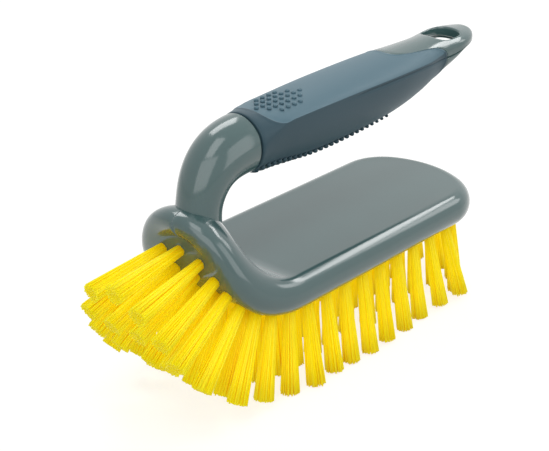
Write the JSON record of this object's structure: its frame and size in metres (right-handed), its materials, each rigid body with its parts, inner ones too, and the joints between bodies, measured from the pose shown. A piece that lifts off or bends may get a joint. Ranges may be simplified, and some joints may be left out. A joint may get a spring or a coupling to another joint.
{
  "type": "scrub brush",
  "caption": "Hand scrub brush: flat moulded block with an upturned bristled front hood, a gooseneck handle with a ribbed soft grip, and a hang hole in the tail.",
  "frame": {"origin": "centre of the whole brush's box, on the plane the bristle tips stand on", "axes": "+X from the hood to the hang hole, +Y to the far side in the picture, +Z from the bristle tips up to the handle"},
  "size_m": [0.2278, 0.0723, 0.1194],
  "materials": {
    "green_grey_polypropylene": "satin",
    "blue_grey_soft_elastomer": "matte",
    "yellow_bristle_fibre": "satin",
    "anchor_wire": "brushed"
  },
  "bodies": {
    "root": {"moulding": "green_grey_polypropylene", "sleeve": "blue_grey_soft_elastomer", "tufts_near": "yellow_bristle_fibre", "tufts_far": "yellow_bristle_fibre", "tufts_rear": "yellow_bristle_fibre", "tufts_inner": "yellow_bristle_fibre", "tufts_centre": "yellow_bristle_fibre", "tufts_hood_rim": "yellow_bristle_fibre", "tufts_hood_mid": "yellow_bristle_fibre", "tufts_hood_low": "yellow_bristle_fibre", "anchors_near": "anchor_wire", "anchors_far": "anchor_wire", "anchors_rear": "anchor_wire", "anchors_inner": "anchor_wire", "anchors_centre": "anchor_wire", "anchors_hood_rim": "anchor_wire", "anchors_hood_mid": "anchor_wire", "anchors_hood_low": "anchor_wire"}
  },
  "joints": []
}
